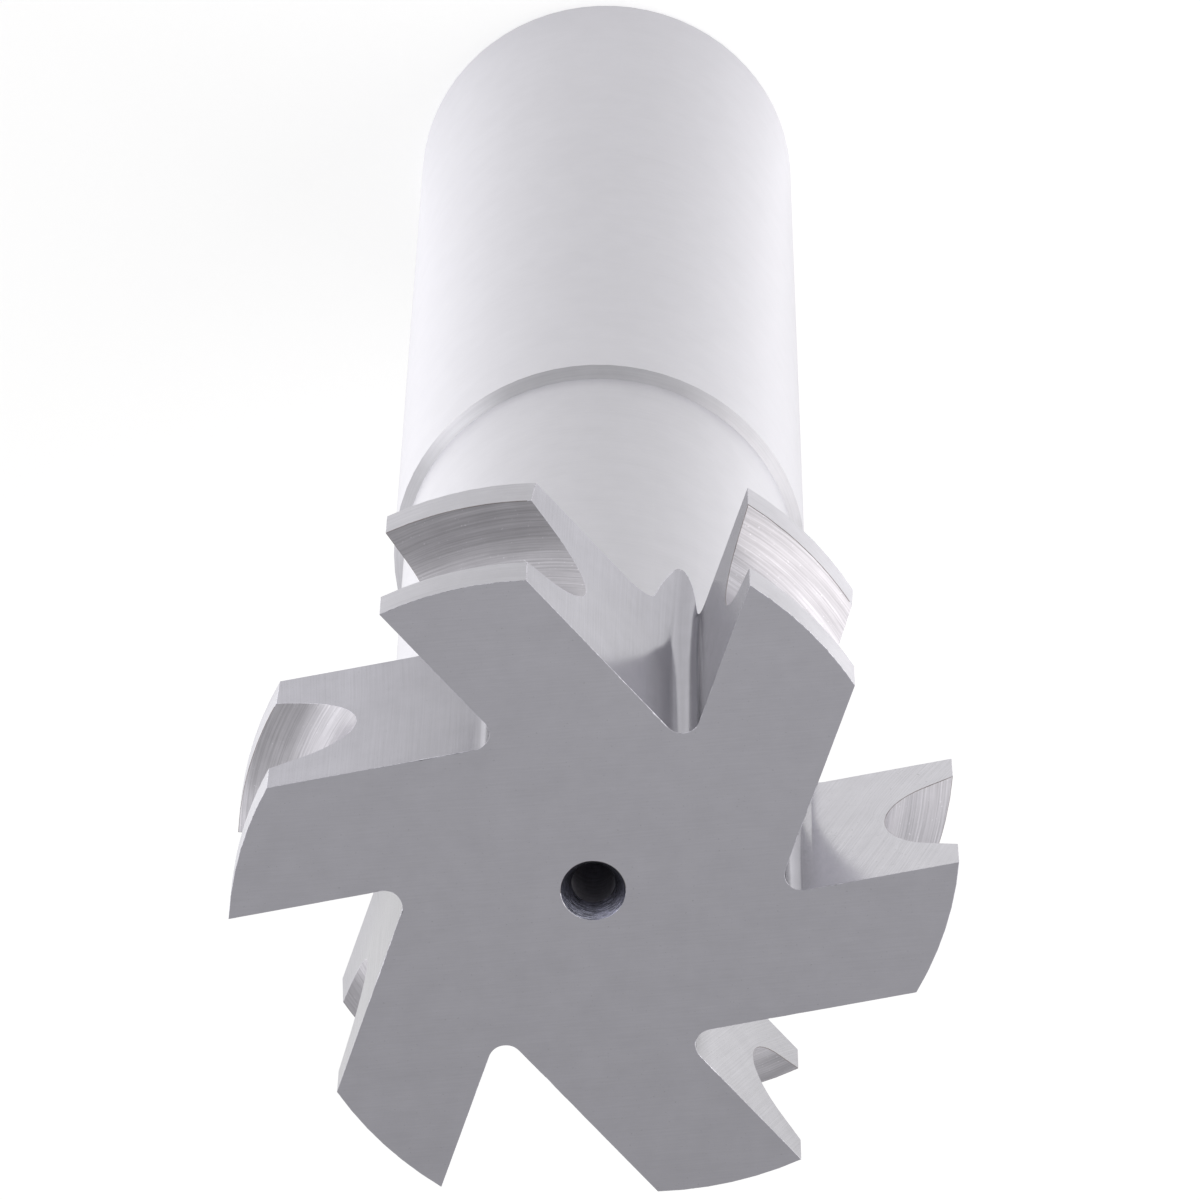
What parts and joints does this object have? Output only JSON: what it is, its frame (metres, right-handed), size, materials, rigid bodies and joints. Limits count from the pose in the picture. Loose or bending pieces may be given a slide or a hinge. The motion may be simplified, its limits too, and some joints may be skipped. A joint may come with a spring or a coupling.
{
  "type": "concave milling cutter",
  "caption": "Shank-type steel milling cutter whose straight teeth have a half-round hollow for milling convex edges and ridges.",
  "frame": {"origin": "centre of the flat end face of the shank, on which the tool stands", "axes": "+Z along the tool's axis from the shank's end to the toothed front face; +X through one tooth's cutting edge"},
  "size_m": [0.0312, 0.029, 0.0869],
  "materials": {
    "tool_steel": "ground"
  },
  "bodies": {
    "root": {"cutter": "tool_steel"}
  },
  "joints": []
}
